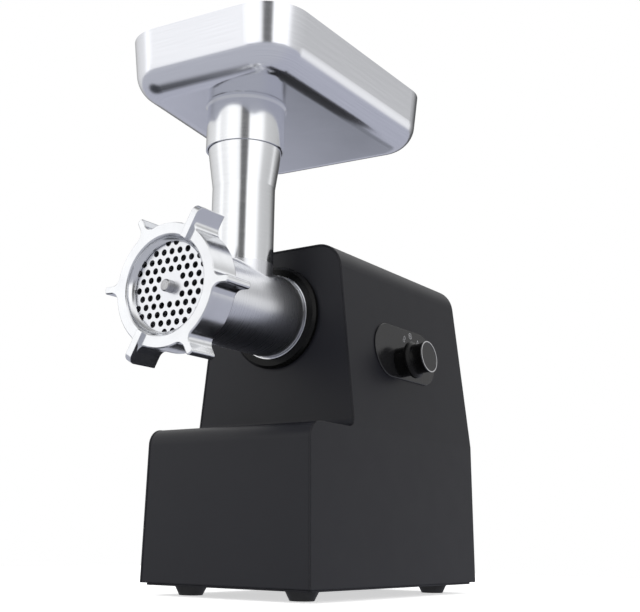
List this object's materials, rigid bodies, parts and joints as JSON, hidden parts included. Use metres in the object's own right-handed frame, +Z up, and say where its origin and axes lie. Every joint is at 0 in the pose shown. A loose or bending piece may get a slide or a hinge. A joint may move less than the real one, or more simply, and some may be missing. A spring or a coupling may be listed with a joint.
{
  "type": "electric meat grinder",
  "caption": "Electric meat grinder: stepped sheet-metal housing, removable grinding head with a lugged ring nut, feed tray on a throat, rotary switch at the side.",
  "frame": {"origin": "on the surface the feet stand on, under the middle of the machine", "axes": "+Z up, -Y towards the front where the grinding head points, +X towards the side with the rotary switch"},
  "size_m": [0.1759, 0.2942, 0.3785],
  "materials": {
    "black_coat": "fine matte powder coat",
    "zinc_sheet": "plain zinc-plated sheet",
    "screw_steel": "plain steel",
    "foot_rubber": "matte",
    "black_plastic": "matte moulded",
    "gloss_black": "glossy moulded",
    "control_grey": "smooth grey",
    "brass_contact": "bright",
    "trim_chrome": "bright",
    "cast_alu": "cast, satin",
    "head_steel": "turned and brushed",
    "tray_steel": "polished sheet",
    "gear_steel": "machined",
    "gear_nylon": "moulded nylon",
    "bronze": "sintered",
    "lamination": "stacked electrical sheet",
    "copper": "varnished wire",
    "carbon": "pressed carbon"
  },
  "bodies": {
    "housing": {"housing_shell": "black_coat", "rear_frame": "black_coat", "front_cover": "black_coat", "back_panel": "black_coat", "panel_screws": "screw_steel", "base_plate": "black_coat", "rubber_feet": "foot_rubber", "foot_screws": "screw_steel", "power_inlet": "black_plastic", "inlet_pins": "brass_contact", "inlet_screws": "screw_steel", "head_socket": "cast_alu", "socket_bezel": "gloss_black", "socket_trim_ring": "trim_chrome", "control_plate": "control_grey", "rotary_switch": "black_plastic", "gearbox_case": "cast_alu", "gearbox_cover": "cast_alu", "bushings": "bronze", "motor_stator": "lamination", "field_coils": "copper", "motor_bracket": "cast_alu", "motor_screws": "screw_steel", "case_spacers": "screw_steel", "motor_bearings": "screw_steel", "brush_holders": "black_plastic", "carbon_brushes": "carbon", "motor_cradle": "zinc_sheet"},
    "knob_body": {"knob": "gloss_black", "knob_ring": "trim_chrome", "knob_face": "control_grey"},
    "lock": {"lock_screw": "screw_steel", "lock_knob": "black_plastic"},
    "rotor": {"rotor_core": "lamination", "rotor_winding": "copper", "commutator": "copper", "cooling_fan": "black_plastic"},
    "layshaft_one": {"wheel_1": "gear_nylon", "pinion_shaft_1": "gear_steel"},
    "layshaft_two": {"wheel_2": "gear_steel", "pinion_shaft_2": "gear_steel"},
    "output": {"output_wheel": "gear_steel", "output_shaft": "gear_steel"},
    "head": {"grinder_head": "head_steel", "throat_tube": "head_steel", "grinding_plate": "head_steel"},
    "screw_conveyor": {"auger": "cast_alu", "auger_pin": "gear_steel", "cutting_knife": "head_steel"},
    "nut": {"ring_nut": "cast_alu"},
    "tray": {"feed_tray": "tray_steel", "tray_sleeve": "tray_steel"}
  },
  "joints": [
    {"name": "knob_turn", "type": "hinge", "parent": "housing", "child": "knob_body", "pos_m": [0.06195, 0.0445, 0.16454], "axis": [0.9941, 0, 0.1086], "range_deg": [-45, 45]},
    {"name": "lock_turn", "type": "hinge", "parent": "housing", "child": "lock", "pos_m": [-0.066, -0.01, 0.1915], "axis": [-1, 0, 0], "range_deg": [0, 360]},
    {"name": "rotor_spin", "type": "hinge", "parent": "housing", "child": "rotor", "pos_m": [0, 0.08, 0.07762], "axis": [0, 1, 0], "continuous": true},
    {"name": "layshaft_one_spin", "type": "hinge", "parent": "housing", "child": "layshaft_one", "pos_m": [0, 0.025, 0.10862], "axis": [0, 1, 0], "continuous": true},
    {"name": "layshaft_two_spin", "type": "hinge", "parent": "housing", "child": "layshaft_two", "pos_m": [0, 0.025, 0.14425], "axis": [0, 1, 0], "continuous": true},
    {"name": "output_spin", "type": "hinge", "parent": "housing", "child": "output", "pos_m": [0, 0.02, 0.1915], "axis": [0, 1, 0], "continuous": true},
    {"name": "head_slide", "type": "slide", "parent": "housing", "child": "head", "axis": [0, -1, 0], "range_m": [0, 0.06]},
    {"name": "auger_spin", "type": "hinge", "parent": "head", "child": "screw_conveyor", "pos_m": [0, -0.08, 0.1915], "axis": [0, 1, 0], "continuous": true},
    {"name": "nut_turn", "type": "hinge", "parent": "head", "child": "nut", "pos_m": [0, -0.13, 0.1915], "axis": [0, 1, 0], "continuous": true},
    {"name": "tray_swivel", "type": "hinge", "parent": "head", "child": "tray", "pos_m": [0, -0.0663, 0.336], "axis": [0, 0, 1], "continuous": true}
  ],
  "couplings": [
    {"joint": "layshaft_one_spin", "follows": "rotor_spin", "ratio": -0.24},
    {"joint": "layshaft_two_spin", "follows": "rotor_spin", "ratio": 0.064},
    {"joint": "output_spin", "follows": "rotor_spin", "ratio": -0.018286},
    {"joint": "auger_spin", "follows": "rotor_spin", "ratio": -0.018286}
  ]
}
